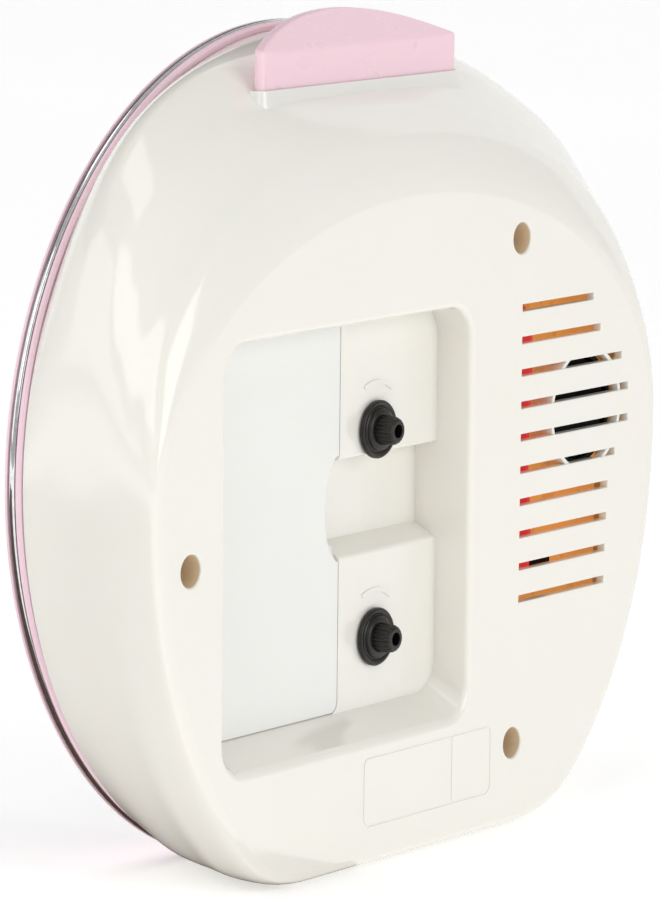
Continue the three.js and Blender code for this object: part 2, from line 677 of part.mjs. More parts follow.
// ---- set knobs: a bevelled flange, a ribbed post and a domed tip with a blind hole ----
function setKnob({ x, z }, pinion, layer) {
  const ribs = 12;
  const outline = [];
  for (let i = 0; i < ribs * 2; i += 1) {
    const angle = (i / (ribs * 2)) * 2 * Math.PI;
    const radius = i % 2 ? KNOB.post - 0.35 : KNOB.post;
    outline.push([x + radius * Math.cos(angle), z + radius * Math.sin(angle)]);
  }
  const flange = [
    [0, PANEL_Y + 0.3],
    [KNOB.flange, PANEL_Y + 0.3],
    [KNOB.flange, PANEL_Y + 1.1],
    [KNOB.flange - 0.8, PANEL_Y + 1.7],
    [4.2, PANEL_Y + 1.9],
    [0, PANEL_Y + 1.9],
  ].map(([radius, y]) => new THREE.Vector2(radius, y));
  const disc = solid(new THREE.LatheGeometry(flange, 18).translate(x, 0, z));
  const post = prismY(polygon(outline), [PANEL_Y + 1.5, KNOB.tip - 1.2]);
  const dome = new THREE.CylinderGeometry(1.9, KNOB.post - 0.5, 1.3, 16);
  const tip = solid(dome.translate(x, KNOB.tip - 0.65, z));
  const shaft = rod(x, z, 1.2, [layer[0], PANEL_Y + 1], 12);
  const body = join(disc, post, tip, shaft, gear(pinion, layer));
  return cut(body, rod(x, z, KNOB.hole, [KNOB.tip - 3, KNOB.tip + 1], 10));
}

place("time_set_knob", setKnob(TIME_KNOB, timePinion, MINUTE_LAYER), "knob");
place("alarm_set_knob", setKnob(ALARM_KNOB, alarmPinion, ALARM_LAYER), "knob");

// ---- hands: a hub on the pipe's end and a tapered blade ----
function hand({ length, tail, width, y, bore, hub, angle }) {
  const blade = polygon([
    [-width / 2, -tail],
    [width / 2, -tail],
    [width * 0.55, length * 0.25],
    [width * 0.16, length],
    [-width * 0.16, length],
    [-width * 0.55, length * 0.25],
  ]);
  const body = join(prismY(blade, y), rod(0, 0, hub, y));
  const pointed = body.rotate([0, angle, 0]);
  return bore ? cut(pointed, rod(0, 0, bore, grown(y, 1))) : pointed;
}

const alarmHand = { length: 38, tail: 5, width: 2.2, y: [-1.7, -1.2], bore: 3.45, hub: 4.7, angle: 180 };
const hourHand = { length: 42, tail: 8, width: 6, y: [-2.6, -2.0], bore: 2.7, hub: 4.4, angle: 60 };
const minuteHand = { length: 62, tail: 10, width: 5, y: [-3.5, -2.9], bore: 2.0, hub: 3.8, angle: -60 };
const secondHand = { length: 66, tail: 18, width: 1.2, y: [-4.5, -3.9], bore: 0.85, hub: 2.6, angle: 145 };

place("alarm_hand", hand(alarmHand), "hand");
place("hour_hand", hand(hourHand), "hand");
place("minute_hand", hand(minuteHand), "hand");
place("second_hand", hand(secondHand), "red");

// ---- battery tray for three AA cells side by side, and its contacts ----
const CELL = { radius: 7.4, length: 52 };
const CELL_PITCH = 15.4;
const CELL_X = [-1, 0, 1].map((i) => (TRAY.x[0] + TRAY.x[1]) / 2 + i * CELL_PITCH);
const CELL_Z = [-38.5, 13.5];

function batteryTray() {
  const body = box(TRAY.x, TRAY.y, TRAY.z);
  const ends = [CELL_Z[0] - 2.2, CELL_Z[1] + 2.2];
  const bays = CELL_X.map((x) => {
    const cell = new THREE.CylinderGeometry(CELL.radius, CELL.radius, ends[1] - ends[0], 20);
    const axisY = TRAY.y[0] + 1.4 + CELL.radius;
    const round = solid(cell.rotateX(Math.PI / 2).translate(x, axisY, (ends[0] + ends[1]) / 2));
    return round.add(box([x - CELL.radius, x + CELL.radius], [axisY, 40], ends));
  });
  const above = box(grown(TRAY.x, -1.2), [TRAY.y[0] + 1.4, TRAY.y[1] + 1], [ends[1] + 1.2, TRAY.z[1] - 1.2]);
  const below = box(grown(TRAY.x, -1.2), [TRAY.y[0] + 1.4, TRAY.y[1] + 1], [TRAY.z[0] + 1.2, ends[0] - 1.2]);
  return cut(body, ...bays, above, below);
}

const CONTACT_Y = [TRAY.y[0] + 4.4, TRAY.y[0] + 13.2];
const contact = (x0, x1, z) => box([x0, x1], CONTACT_Y, [z, z + 0.5]);

place("battery_tray", batteryTray(), "white");
place("contact_negative", contact(CELL_X[0] - 5, CELL_X[0] + 5, CELL_Z[0] - 1.8), "steel");
place("contact_link_lower", contact(CELL_X[1] - 5, CELL_X[1] + 5, CELL_Z[0] - 1.8), "steel");
place("contact_link_upper", contact(CELL_X[1] - 5, CELL_X[1] + 5, CELL_Z[1] + 1.3), "steel");
place("contact_positive", contact(CELL_X[2] - 5, CELL_X[2] + 5, CELL_Z[1] + 1.3), "steel");

// ---- alarm board, its parts and the speaker in front of it ----
const BOARD_HOLES = [{ x: -29, z: 22 }, { x: -29, z: -36 }];

function circuitBoard() {
  const holes = BOARD_HOLES.map(({ x, z }) => rod(x, z, 1.5, [20, 40], 12));
  return cut(box(BOARD.x, BOARD.y, BOARD.z), ...holes);
}

function boardScrew({ x, z }) {
  const head = rod(x, z, 2.4, [BOARD.y[1] + GAP, BOARD.y[1] + 1.8], 14);
  return join(head, rod(x, z, 1.1, [BOARD.y[0] - 6, BOARD.y[1] + 1], 10));
}

function speakerFrame() {
  const { x, z, radius } = SPEAKER;
  const y = [BOARD.y[1] + 2.9, 37.6];
  const basket = tube(x, z, radius - 0.4, radius - 1.6, y, 24);
  const floor = tube(x, z, radius - 1, 4.4, [y[0], y[0] + 0.9], 24);
  return join(basket, floor);
}

function speakerCone() {
  const { x, z, radius } = SPEAKER;
  const outer = radius - 2;
  const profile = [
    [0, 34.7],
    [3.4, 34.7],
    [outer, 36.2],
    [outer, 36.7],
    [3.8, 35.3],
    [0, 35.9],
  ].map(([r, y]) => new THREE.Vector2(r, y));
  return solid(new THREE.LatheGeometry(profile, 22).translate(x, 0, z));
}

place("circuit_board", circuitBoard(), "board");
BOARD_HOLES.forEach((hole, index) => place("board_screw_" + (index + 1), boardScrew(hole), "steel"));
place("speaker_frame", speakerFrame(), "black");
place("speaker_cone", speakerCone(), "black");
place("speaker_magnet", rod(SPEAKER.x, SPEAKER.z, 4.1, [BOARD.y[1] + GAP, 34.3], 20), "steel");
place("sound_chip", box([-60, -53], [31.1, 33], [-34, -27]), "black");
place("board_capacitor", rod(-34.5, -10, 3, [31.1, 36], 18), "black");

// ---- leads from the battery contacts to the board, clipped along the recess wall ----
function lead(points, radius) {
  const section = new THREE.Shape().absarc(0, 0, radius, 0, 2 * Math.PI);
  const path = new THREE.CatmullRomCurve3(points.map(([x, y, z]) => new THREE.Vector3(x, y, z)));
  const sweep = { steps: 18, curveSegments: 3, extrudePath: path, bevelEnabled: false };
  return solid(new THREE.ExtrudeGeometry(section, sweep));
}

const redRoute = [
  [-45.5, 32.2, -37],
  [-46.4, 34.4, -34],
  [-46.6, 35.4, -22],
  [-45.4, 35.4, -8],
  [-45.8, 35.4, 6],
  [-46.6, 35.2, 20],
  [-46.2, 34, 26],
  [-46, 32.2, 28],
];
const blackRoute = redRoute.map(([x, y, z]) => [x + 4.4, y, z * 0.62 - 3]);

place("red_lead", lead(redRoute, 1.2), "red");
place("black_lead", lead(blackRoute, 0.7), "black");

// ---- case screws, at the bottom of the three wells ----
function caseScrew({ x, z }) {
  const head = rod(x, z, 2.8, [WELL_FLOOR_Y + GAP, WELL_FLOOR_Y + 2.4], 14);
  const shank = rod(x, z, 1.3, [5, WELL_FLOOR_Y + 1], 8);
  const y = [WELL_FLOOR_Y + 1.3, WELL_FLOOR_Y + 3];
  const slot = box([x - 2, x + 2], y, [z - 0.35, z + 0.35]);
  const crossSlot = box([x - 0.35, x + 0.35], y, [z - 2, z + 2]);
  return cut(join(head, shank), slot, crossSlot);
}

WELLS.forEach((well, index) => place("case_screw_" + (index + 1), caseScrew(well), "steel"));

// Stand the clock on its base, with its middle over the origin.
clock.position.set(0, -(FRONT_Y + BACK_Y) / 2, BASE);

const root = new THREE.Group();
root.add(clock);

export default root;
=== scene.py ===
"""Looks of the table alarm clock, seen from behind: fine shapes, materials, floor, light and camera.

Lengths are millimetres about the dial's axis: x across, y from the dial to the back, z up.
TO_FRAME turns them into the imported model's frame, in metres.
"""
import json
import math

import bmesh
import bpy
import numpy as np
from mathutils import Matrix, Vector

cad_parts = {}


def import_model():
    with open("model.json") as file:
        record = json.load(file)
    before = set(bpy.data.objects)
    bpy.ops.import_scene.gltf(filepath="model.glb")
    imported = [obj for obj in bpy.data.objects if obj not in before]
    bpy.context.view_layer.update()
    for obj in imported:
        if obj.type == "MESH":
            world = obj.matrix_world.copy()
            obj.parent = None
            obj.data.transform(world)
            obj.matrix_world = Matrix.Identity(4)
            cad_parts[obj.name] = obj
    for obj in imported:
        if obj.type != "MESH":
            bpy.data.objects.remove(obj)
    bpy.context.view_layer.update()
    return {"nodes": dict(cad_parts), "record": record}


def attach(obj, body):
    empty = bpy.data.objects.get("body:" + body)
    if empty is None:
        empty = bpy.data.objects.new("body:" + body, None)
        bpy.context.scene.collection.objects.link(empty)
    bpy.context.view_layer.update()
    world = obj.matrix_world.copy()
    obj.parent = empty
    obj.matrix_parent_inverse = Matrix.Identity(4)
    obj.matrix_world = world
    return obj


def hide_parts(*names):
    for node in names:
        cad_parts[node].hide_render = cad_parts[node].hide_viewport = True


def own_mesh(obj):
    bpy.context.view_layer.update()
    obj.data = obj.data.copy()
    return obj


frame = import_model()

# ---- driving dimensions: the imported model's, except for BAR_END, COLLAR and the label ----
BASE = 85.0
FRONT_Y = -8.0
BACK_Y = 40.0
WALL = 2.0
GAP = 0.3
PANEL_Y = 31.0
RECESS_X = (-18.5, 69.0)
RECESS_Z = (-58.6, 30.2)
RECESS_CORNER = 7.0
RECESS_SLOPE = 5.2
POCKET_Z = (-17.4, 0.2)
POCKET_SLOPE = 3.0
POCKET_Y = 25.5
DOOR_EDGE_X = 17.0
DOOR_THICK = 1.8
SCOOP_Z = -9.9
SCOOP_HALF = 11.3
SCOOP_REACH = 5.2
SCOOP_DEPTH = 2.6
TIME_KNOB = (4.3, 5.5)
ALARM_KNOB = (4.3, -38.76)
WELLS = ((-37.2, 42.9), (80.4, -14.0), (-36.0, -66.9))
WELL_RADIUS = 3.35
WELL_FLOOR_Y = 18.0
SCREW_HOLE = 1.7
INSIDE_Y = 20.0
BAY_MARGIN = 1.8
KNOB_HOLE = 4.0
SLOT_PITCH = 7.04
SLOT_TOP = 27.8
SLOT_HEIGHT = 1.55
SLOT_INNER = -37.6
SLOT_ENDS = (-65.5, -68.5, -77.2, -80, -80, -75, -72.3, -72, -71.6, -71.3)
SPEAKER = (-63.7, 3.2)
HOLDER_RADIUS = 13.9
HOLDER_WALL = 0.9
HOLDER_FRONT_Y = 33.5
LABEL_X = (-27.5, 20.0)
LABEL_Z = (-76.5, -61.5)
LABEL_CORNER = 2.0
LABEL_DEPTH = 0.15
LABEL_DIVIDER = (-12.9, -12.5)
BAR_HALF = 35.2
BAR_BACK = 23.4
BAR_END = 2.2
BAR_DEPTH = 9.5
BAR_TOP = 86.0
BAR_CROWN = 93.0
BAR_BOTTOM = 78.2
BAR_SKIRT = 72.6
BAR_END_ROUND = 1.0
COLLAR = 0.75
COLLAR_FOOT = 65.4

TO_FRAME = Matrix.Scale(0.001, 4) @ Matrix.Translation((0, -(FRONT_Y + BACK_Y) / 2, BASE))


# ---- meshes ----
def new_object(name, mesh):
    obj = bpy.data.objects.new(name, mesh)
    bpy.context.scene.collection.objects.link(obj)
    return obj


def from_faces(name, points, faces):
    """A closed mesh in millimetres, with its normals turned outward."""
    mesh = bpy.data.meshes.new(name)
    mesh.from_pydata([tuple(p) for p in points], [], faces)
    work = bmesh.new()
    work.from_mesh(mesh)
    bmesh.ops.remove_doubles(work, verts=work.verts, dist=1e-4)
    bmesh.ops.recalc_face_normals(work, faces=work.faces)
    work.to_mesh(mesh)
    work.free()
    return new_object(name, mesh)


def skin(name, rings):
    """Joins closed rings of points, one after another, and closes both ends."""
    count = len(rings[0])
    points = [p for ring in rings for p in ring]
    faces = []
    for r in range(len(rings) - 1):
        for i in range(count):
            j = (i + 1) % count
            a, b = r * count, (r + 1) * count
            faces.append((a + i, a + j, b + j, b + i))
    faces.append(tuple(range(count)))
    faces.append(tuple(range((len(rings) - 1) * count, len(rings) * count)))
    return from_faces(name, points, faces)


def turned(name, profile, segments=96, at=(0, 0)):
    """A closed profile of (radius, y) turned about a line along y through at, an x and z."""
    x0, z0 = at
    points = []
    faces = []
    count = len(profile)
    for s in range(segments):
        angle = 2 * math.pi * s / segments
        for radius, y in profile:
            points.append((x0 + radius * math.cos(angle), y, z0 + radius * math.sin(angle)))
    for s in range(segments):
        t = (s + 1) % segments
        for i in range(count):
            j = (i + 1) % count
            if profile[i][0] < 1e-6 and profile[j][0] < 1e-6:
                continue
            faces.append((s * count + i, s * count + j, t * count + j, t * count + i))
    return from_faces(name, points, faces)


def rounded_outline(x, z, corner, by=0.0, steps=8):
    """A rectangle with round corners, as points in x and z; by grows it."""
    x0, x1 = x[0] - by, x[1] + by
    z0, z1 = z[0] - by, z[1] + by
    corners = corner if isinstance(corner, tuple) else (corner,) * 4
    centres = ((x1, z0, -90), (x1, z1, 0), (x0, z1, 90), (x0, z0, 180))
    inward = ((-1, 1), (-1, -1), (1, -1), (1, 1))
    points = []
    for (cx, cz, start), (sx, sz), size in zip(centres, inward, corners):
        radius = max(size + by, 0.01)
        for step in range(steps + 1):
            angle = math.radians(start + 90 * step / steps)
            px = cx + sx * radius + radius * math.cos(angle)
            pz = cz + sz * radius + radius * math.sin(angle)
            points.append((px, pz))
    return points


def prism(name, outline, y0, y1):
    return skin(name, [[(x, y, z) for x, z in outline] for y in (y0, y1)])


def block(name, x, y, z):
    outline = [(x[0], z[0]), (x[1], z[0]), (x[1], z[1]), (x[0], z[1])]
    return prism(name, outline, y[0], y[1])


def apply_modifiers(obj):
    bpy.context.view_layer.objects.active = obj
    for modifier in list(obj.modifiers):
        bpy.ops.object.modifier_apply(modifier=modifier.name)


def combine(obj, others, operation):
    """Adds the others to obj, or cuts them from it, one by one, and removes them."""
    for other in others:
        modifier = obj.modifiers.new("combine", "BOOLEAN")
        modifier.operation = operation
        modifier.solver = "EXACT"
        modifier.object = other
        apply_modifiers(obj)
        bpy.data.objects.remove(other)
    return obj


def cut(obj, *others):
    return combine(obj, others, "DIFFERENCE")


def add(obj, *others):
    return combine(obj, others, "UNION")


def round_edges(obj, width, segments=3, angle=40):
    modifier = obj.modifiers.new("round", "BEVEL")
    modifier.width = width
    modifier.segments = segments
    modifier.limit_method = "ANGLE"
    modifier.angle_limit = math.radians(angle)
    modifier.use_clamp_overlap = True
    apply_modifiers(obj)
    return obj


def smooth(obj, angle=35):
    obj.data.shade_smooth()
    obj.data.set_sharp_from_angle(angle=math.radians(angle))
    modifier = obj.modifiers.new("normals", "WEIGHTED_NORMAL")
    modifier.keep_sharp = True
    modifier.weight = 80
    return obj


def piece(obj, material, body="case", replaces=(), angle=35):
    """Puts a finished mesh in the frame, with its material, on its body."""
    obj.data.transform(TO_FRAME)
    obj.data.validate()
    obj.data.materials.clear()
    obj.data.materials.append(material)
    smooth(obj, angle)
    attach(obj, body)
    if replaces:
        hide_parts(*replaces)
    return obj


# ---- materials ----
def nodes_of(name):
    material = bpy.data.materials.new(name)
    material.use_nodes = True
    tree = material.node_tree
    shader = tree.nodes["Principled BSDF"]
    return material, tree, shader


def noise(tree, scale, detail=3.0, stretch=(1, 1, 1)):
    """Noise in the object's own space, in features per metre."""
    place = tree.nodes.new("ShaderNodeTexCoord")
    mapping = tree.nodes.new("ShaderNodeMapping")
    mapping.inputs["Scale"].default_value = stretch
    texture = tree.nodes.new("ShaderNodeTexNoise")
    texture.inputs["Scale"].default_value = scale
    texture.inputs["Detail"].default_value = detail
    tree.links.new(place.outputs["Object"], mapping.inputs["Vector"])
    tree.links.new(mapping.outputs["Vector"], texture.inputs["Vector"])
    return texture.outputs["Fac"]


def ramp(tree, source, low, high, at=(0.35, 0.65)):
    """Turns a 0 to 1 value into a colour between low and high."""
    node = tree.nodes.new("ShaderNodeValToRGB")
    for element, colour, position in zip(node.color_ramp.elements, (low, high), at):
        element.color = (*colour, 1)
        element.position = position
    tree.links.new(source, node.inputs["Fac"])
    return node.outputs["Color"]


def between(tree, source, low, high):
    """Turns a 0 to 1 value into a number between low and high."""
    node = tree.nodes.new("ShaderNodeMapRange")
    node.inputs["To Min"].default_value = low
    node.inputs["To Max"].default_value = high
    tree.links.new(source, node.inputs["Value"])
    return node.outputs["Result"]


def bump(tree, shader, source, height, strength=1.0):
    node = tree.nodes.new("ShaderNodeBump")
    node.inputs["Distance"].default_value = height
    node.inputs["Strength"].default_value = strength
    tree.links.new(source, node.inputs["Height"])
    tree.links.new(node.outputs["Normal"], shader.inputs["Normal"])


def moulded(name, colour, spread=0.03, roughness=0.25, gloss=0.5, grain=0.000004, glow=0.0, coat=0.0):
    """Moulded plastic: faint flow marks in its colour, uneven gloss and a very fine grain."""
    material, tree, shader = nodes_of(name)
    light = tuple(min(c * (1 + spread), 1) for c in colour)
    dark = tuple(c * (1 - spread) for c in colour)
    flow = noise(tree, 28, 4, (1, 0.4, 1))
    tree.links.new(ramp(tree, flow, dark, light), shader.inputs["Base Color"])
    gloss_marks = noise(tree, 90, 3)
    rough = between(tree, gloss_marks, roughness - 0.05, roughness + 0.06)
    tree.links.new(rough, shader.inputs["Roughness"])
    shader.inputs["Specular IOR Level"].default_value = gloss
    shader.inputs["Coat Weight"].default_value = coat
    shader.inputs["Coat Roughness"].default_value = roughness / 2
    if glow:
        shader.inputs["Subsurface Weight"].default_value = glow
        shader.inputs["Subsurface Radius"].default_value = (1.0, 0.8, 0.55)
        shader.inputs["Subsurface Scale"].default_value = 0.002
    bump(tree, shader, noise(tree, 2600, 2), grain, 0.5)
    return material


def metal(name, colour, roughness=0.3, brushed=(1, 1, 1)):
    """Metal with a brushed or cast grain."""
    material, tree, shader = nodes_of(name)
    dark = tuple(c * 0.85 for c in colour)
    grain = noise(tree, 900, 4, brushed)
    tree.links.new(ramp(tree, grain, dark, colour), shader.inputs["Base Color"])
    tree.links.new(between(tree, grain, roughness * 0.7, roughness * 1.3), shader.inputs["Roughness"])
    shader.inputs["Metallic"].default_value = 1.0
    bump(tree, shader, grain, 0.00001, 0.4)
    return material


def glass(name):
    """Clear moulded lens with faint wipe marks."""
    material, tree, shader = nodes_of(name)
    shader.inputs["Transmission Weight"].default_value = 1.0
    shader.inputs["IOR"].default_value = 1.45
    marks = noise(tree, 60, 3, (1, 1, 0.2))
    tree.links.new(between(tree, marks, 0.01, 0.05), shader.inputs["Roughness"])
    tree.links.new(ramp(tree, marks, (0.97, 0.98, 0.98), (1, 1, 1)), shader.inputs["Base Color"])
    return material


def seen_through_shell(shader, colour, strength):
    """The light that reaches the inside through the pale shell."""
    shader.inputs["Emission Color"].default_value = (*colour, 1)
    shader.inputs["Emission Strength"].default_value = strength


def board_material(name):
    """Brown phenolic board with darker copper tracks under its varnish."""
    material, tree, shader = nodes_of(name)
    place = tree.nodes.new("ShaderNodeTexCoord")
    cells = tree.nodes.new("ShaderNodeTexVoronoi")
    cells.distance = "MANHATTAN"
    cells.feature = "F1"
    cells.inputs["Scale"].default_value = 160
    tree.links.new(place.outputs["Object"], cells.inputs["Vector"])
    tracks = ramp(tree, cells.outputs["Distance"], (0.50, 0.19, 0.04), (0.68, 0.30, 0.08), (0.40, 0.48))
    seen_through_shell(shader, (0.62, 0.28, 0.07), 0.6)
    tree.links.new(tracks, shader.inputs["Base Color"])
    fibres = noise(tree, 700, 4, (1, 1, 0.2))
    tree.links.new(between(tree, fibres, 0.3, 0.5), shader.inputs["Roughness"])
    bump(tree, shader, fibres, 0.00002)
    return material


def wire_material(name, colour):
    """Soft wire insulation, slightly dusty."""
    material, tree, shader = nodes_of(name)
    seen_through_shell(shader, colour, 0.5)
    dust = noise(tree, 500, 4)
    dusty = tuple(c * 0.85 + 0.03 for c in colour)
    tree.links.new(ramp(tree, dust, colour, dusty), shader.inputs["Base Color"])
    tree.links.new(between(tree, dust, 0.3, 0.5), shader.inputs["Roughness"])
    bump(tree, shader, dust, 0.00002, 0.4)
    return material


def winding_material(name):
    """Enamelled copper wire laid in close turns."""
    material, tree, shader = nodes_of(name)
    place = tree.nodes.new("ShaderNodeTexCoord")
    turns = tree.nodes.new("ShaderNodeTexWave")
    turns.bands_direction = "X"
    turns.inputs["Scale"].default_value = 900
    tree.links.new(place.outputs["Object"], turns.inputs["Vector"])
    enamel = ramp(tree, turns.outputs["Fac"], (0.22, 0.06, 0.02), (0.62, 0.24, 0.09))
    tree.links.new(enamel, shader.inputs["Base Color"])
    shader.inputs["Metallic"].default_value = 0.8
    shader.inputs["Roughness"].default_value = 0.35
    bump(tree, shader, turns.outputs["Fac"], 0.00005)
    return material


cream = moulded(
    "cream_plastic", (0.87, 0.85, 0.785), spread=0.006, roughness=0.14, grain=0.000002, glow=0.25, coat=0.6
)
white = moulded(
    "white_plastic", (0.86, 0.86, 0.83), spread=0.01, roughness=0.32, gloss=0.45, grain=0.000006, glow=0.15
)
knob_black = moulded(
    "knob_plastic", (0.008, 0.006, 0.0045), spread=0.2, roughness=0.3, gloss=0.45, grain=0.00001
)
black = moulded(
    "black_plastic", (0.005, 0.004, 0.0035), spread=0.2, roughness=0.6, gloss=0.2, grain=0.00001
)
pink = moulded("pink_plastic", (0.92, 0.66, 0.74), spread=0.006, roughness=0.28, glow=0.2)
# Painted shade: the screw wells are the same cream plastic, and their tan colour stands in for the shade
# inside the deep wells.
well_painted_shade = moulded("cream_plastic_painted_well_shade", (0.86, 0.69, 0.48), roughness=0.4, gloss=0.4)
works = moulded("natural_plastic", (0.72, 0.70, 0.64), roughness=0.45, gloss=0.4)
hand_paint = moulded("hand_paint", (0.05, 0.04, 0.045), spread=0.1, roughness=0.3)
red = wire_material("red_plastic", (0.62, 0.03, 0.04))
dial_card = moulded(
    "dial_card", (0.88, 0.87, 0.83), spread=0.01, roughness=0.6, gloss=0.2, grain=0.00002
)
print_ink = moulded("dial_ink", (0.04, 0.035, 0.04), spread=0.1, roughness=0.5, gloss=0.3)
chrome = metal("chrome_plate", (0.80, 0.81, 0.83), roughness=0.04)
steel = metal("plated_steel", (0.55, 0.56, 0.58), brushed=(1, 1, 8))
phenolic = board_material("phenolic_board")
copper = winding_material("copper_winding")
clear = glass("clear_lens")

CAD_MATERIALS = {
    "cream": cream,
    "white": white,
    "pink": pink,
    "chrome": chrome,
    "clear_lens": clear,
    "dial": dial_card,
    "knob": knob_black,
    "hand": hand_paint,
    "works": works,
    "steel": steel,
    "copper": copper,
    "board": phenolic,
    "black_plastic": black,
    "red_plastic": red,
}


def paint_cad_nodes():
    for part in frame["record"]["subparts"]:
        mesh = frame["nodes"][part["node"]].data
        mesh.materials.clear()
        mesh.materials.append(CAD_MATERIALS[part["material_slot"]])


# ---- rear housing ----
# y, half-width, height of the top, reach of the lower curve, squareness above and below,
# and how far the foot is lifted off the base
HOUSING_LEVELS = np.array([
    (3.8, 89.0, 88.0, 91.0, 2.0, 2.0, 0.0),
    (13.0, 89.6, 85.0, 95.5, 2.9, 2.05, 0.0),
    (23.0, 91.2, 76.8, 97.5, 3.2, 2.1, 0.0),
    (29.0, 92.0, 73.0, 98.5, 2.8, 2.15, 0.0),
    (33.0, 92.3, 70.5, 99.0, 2.45, 2.15, 0.0),
    (36.5, 92.3, 67.0, 99.0, 2.3, 2.15, 0.1),
    (38.6, 92.0, 62.5, 98.5, 2.15, 2.15, 0.5),
    (39.6, 91.0, 59.0, 98.0, 2.05, 2.15, 1.2),
    (BACK_Y, 88.5, 55.0, 96.5, 2.0, 2.15, 2.6),
])
FOOT_BLEND = 7.0


def between_levels(levels, steps):
    """Fills in levels between the given ones along a smooth curve through them."""
    padded = np.vstack([2 * levels[0] - levels[1], levels, 2 * levels[-1] - levels[-2]])
    filled = []
    for i in range(1, len(levels)):
        before, start, end, after = padded[i - 1:i + 3]
        for step in range(steps):
            t = step / steps
            slope_a = (end - before) / 2
            slope_b = (after - start) / 2
            filled.append(
                (2 * t**3 - 3 * t**2 + 1) * start + (t**3 - 2 * t**2 + t) * slope_a
                + (3 * t**2 - 2 * t**3) * end + (t**3 - t**2) * slope_b
            )
    filled.append(levels[-1])
    return filled


def soft_minimum(a, b, blend):
    """The smaller of a and b, rounded off where they are within blend of each other."""
    near = max(blend - abs(a - b), 0) / blend
    return min(a, b) - near * near * blend / 4


def section(level, base, segments):
    """The housing's outline at one level: squared curves above and below, flattened at the base."""
    y, side, top, bottom, square_above, square_below, lift = level
    ring = []
    for s in range(segments):
        angle = 2 * math.pi * s / segments
        across, up = math.cos(angle), math.sin(angle)
        power = 2 / (square_above if up > 0 else square_below)
        x = math.copysign(abs(across) ** power, across) * side
        reach = abs(up) ** power * (top if up > 0 else bottom)
        z = reach if up > 0 else -soft_minimum(reach, base - lift, FOOT_BLEND)
        ring.append((x, y, z))
    return ring


def housing_outside():
    """The shell's outer face, from the rim to the flat back."""
    levels = between_levels(HOUSING_LEVELS, 6)
    return skin("housing", [section(level, BASE, 240) for level in levels])


def housing_inside():
    """The room inside the shell, open at the front."""
    levels = HOUSING_LEVELS[:6].copy()
    levels[0, 0] -= 1.0
    levels[:, 1] -= WALL
    levels[:, 2] -= WALL * 1.25
    levels[:, 3] -= WALL
    last = (BACK_Y - WALL, 88.0, 58.0, 96.0, 2.2, 2.15, 0.0)
    rings = [section(level, BASE - WALL, 120) for level in np.vstack([levels, last])]
    return skin("housing_inside", rings)


def flared(name, outline_at, floor_y, edge=1.1, steps=5):
    """A cutter with straight sides whose mouth opens with a round edge at the back face."""
    rings = [[(x, floor_y, z) for x, z in outline_at(0)]]
    for step in range(steps + 1):
        angle = math.pi / 2 * step / steps
        grow = edge * (1 - math.cos(angle))
        y = BACK_Y - edge + edge * math.sin(angle)
        rings.append([(x, y, z) for x, z in outline_at(grow)])
    rings.append([(x, BACK_Y + 1.5, z) for x, z in outline_at(edge)])
    return skin(name, rings)


def recess_cutter():
    """The recess: straight walls, and a lower wall that leans out towards the mouth."""
    edge = 1.3
    steps = 6

    def ring(y, grow, lean):
        low = RECESS_Z[0] + RECESS_SLOPE * (1 - lean)
        outline = rounded_outline(RECESS_X, (low, RECESS_Z[1]), RECESS_CORNER, grow)
        return [(x, y, z) for x, z in outline]

    rings = [ring(PANEL_Y, 0, 0), ring(BACK_Y - edge, 0, 1 - edge / (BACK_Y - PANEL_Y))]
    for step in range(1, steps + 1):
        angle = math.pi / 2 * step / steps
        y = BACK_Y - edge + edge * math.sin(angle)
        lean = (y - PANEL_Y) / (BACK_Y - PANEL_Y)
        rings.append(ring(y, edge * (1 - math.cos(angle)), lean))
    rings.append(ring(BACK_Y + 1.5, edge, 1))
    return skin("recess", rings)


def pocket_cutter():
    """The deeper finger pocket between the two knob blocks, with rounded edges at its mouth."""
    edge = 0.7
    steps = 4
    section_points = [(POCKET_Y, POCKET_Z[0])]
    slope_end = (PANEL_Y - edge, POCKET_Z[0] - POCKET_SLOPE * (1 - edge / (PANEL_Y - POCKET_Y)))
    section_points.append(slope_end)
    for step in range(1, steps + 1):
        angle = math.pi / 2 * step / steps
        y = PANEL_Y - edge + edge * math.sin(angle)
        section_points.append((y, slope_end[1] - edge * (1 - math.cos(angle)) - 0.3 * step / steps))
    section_points.append((PANEL_Y + 1, section_points[-1][1]))
    section_points.append((PANEL_Y + 1, POCKET_Z[1] + edge))
    for step in range(steps, -1, -1):
        angle = math.pi / 2 * step / steps
        z = POCKET_Z[1] + edge * (1 - math.cos(angle))
        section_points.append((PANEL_Y - edge + edge * math.sin(angle), z))
    section_points.append((POCKET_Y, POCKET_Z[1]))
    rings = [[(x, y, z) for y, z in section_points] for x in (RECESS_X[0], DOOR_EDGE_X + 3)]
    return skin("pocket", rings)


def door_outline(by):
    height = (RECESS_Z[0] + RECESS_SLOPE, RECESS_Z[1])
    corners = (RECESS_CORNER, RECESS_CORNER, 0.0, 2.5)
    return rounded_outline((DOOR_EDGE_X, RECESS_X[1]), height, corners, by)


def circle(at, radius, segments=40):
    x, z = at
    angles = [2 * math.pi * s / segments for s in range(segments)]
    return [(x + radius * math.cos(a), z + radius * math.sin(a)) for a in angles]


def well_cutter(at):
    mouth = flared("well", lambda by: circle(at, WELL_RADIUS + by), WELL_FLOOR_Y, 0.5, 4)
    return add(mouth, prism("screw_hole", circle(at, SCREW_HOLE, 20), 10, WELL_FLOOR_Y + 1))


def slot_cutter(row):
    z = SLOT_TOP - row * SLOT_PITCH
    half = SLOT_HEIGHT / 2

    def outline(by):
        return rounded_outline((SLOT_ENDS[row], SLOT_INNER), (z - half, z + half), 0.12, by, 3)

    return flared("slot", outline, BACK_Y - WALL - 1, 0.22, 3)


